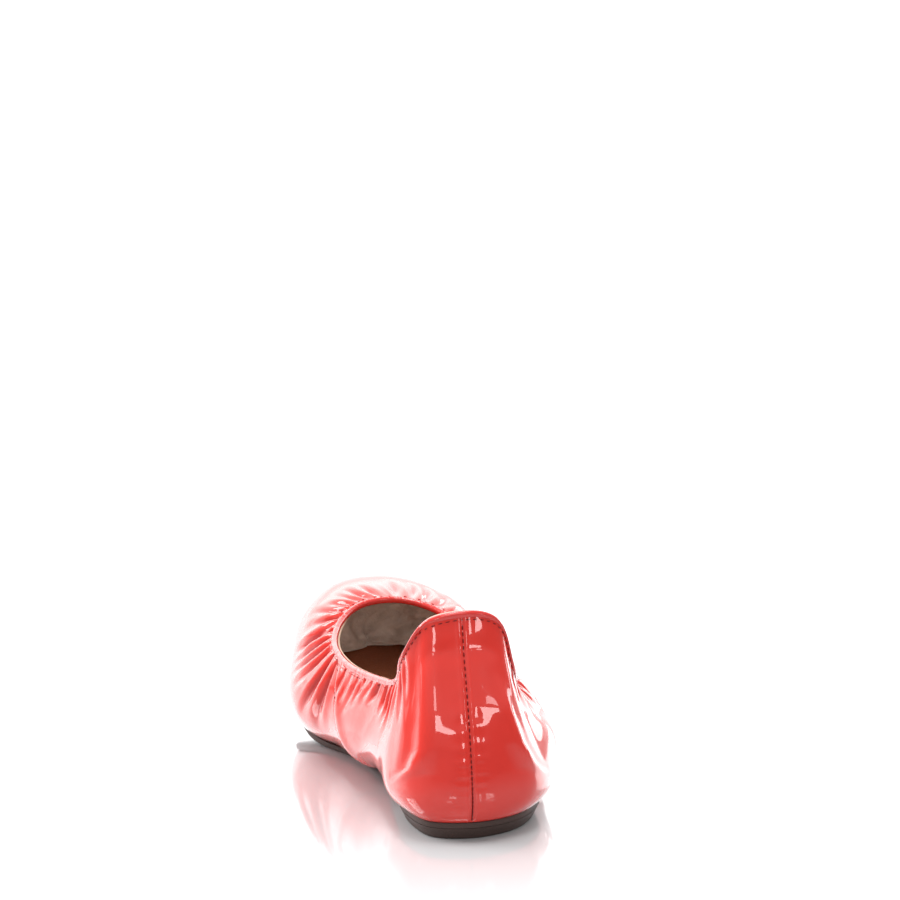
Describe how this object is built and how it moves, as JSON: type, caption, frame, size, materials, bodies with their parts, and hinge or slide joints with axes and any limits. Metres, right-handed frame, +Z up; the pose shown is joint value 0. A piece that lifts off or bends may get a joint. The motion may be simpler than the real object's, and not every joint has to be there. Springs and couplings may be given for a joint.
{
  "type": "ballet flat",
  "caption": "Right scrunched ballet flat in glossy red with an elastic gathered topline, a thin bent sole and a low rubber heel.",
  "frame": {"origin": "middle of the shoe's box, on the floor that it stands on", "axes": "+Y towards the toe, +Z up, +X towards the outer side of the foot"},
  "size_m": [0.0904, 0.2252, 0.0817],
  "materials": {
    "patent": "high-gloss patent, red",
    "binding": "high-gloss patent, red, gathered",
    "sock": "matte brown lining leather",
    "outsole_rubber": "matte dark rubber",
    "heel_rubber": "matte dark rubber"
  },
  "bodies": {
    "root": {"upper": "patent", "topline_binding": "binding", "insole": "sock", "outsole": "outsole_rubber", "heel_lift": "heel_rubber"}
  },
  "joints": []
}
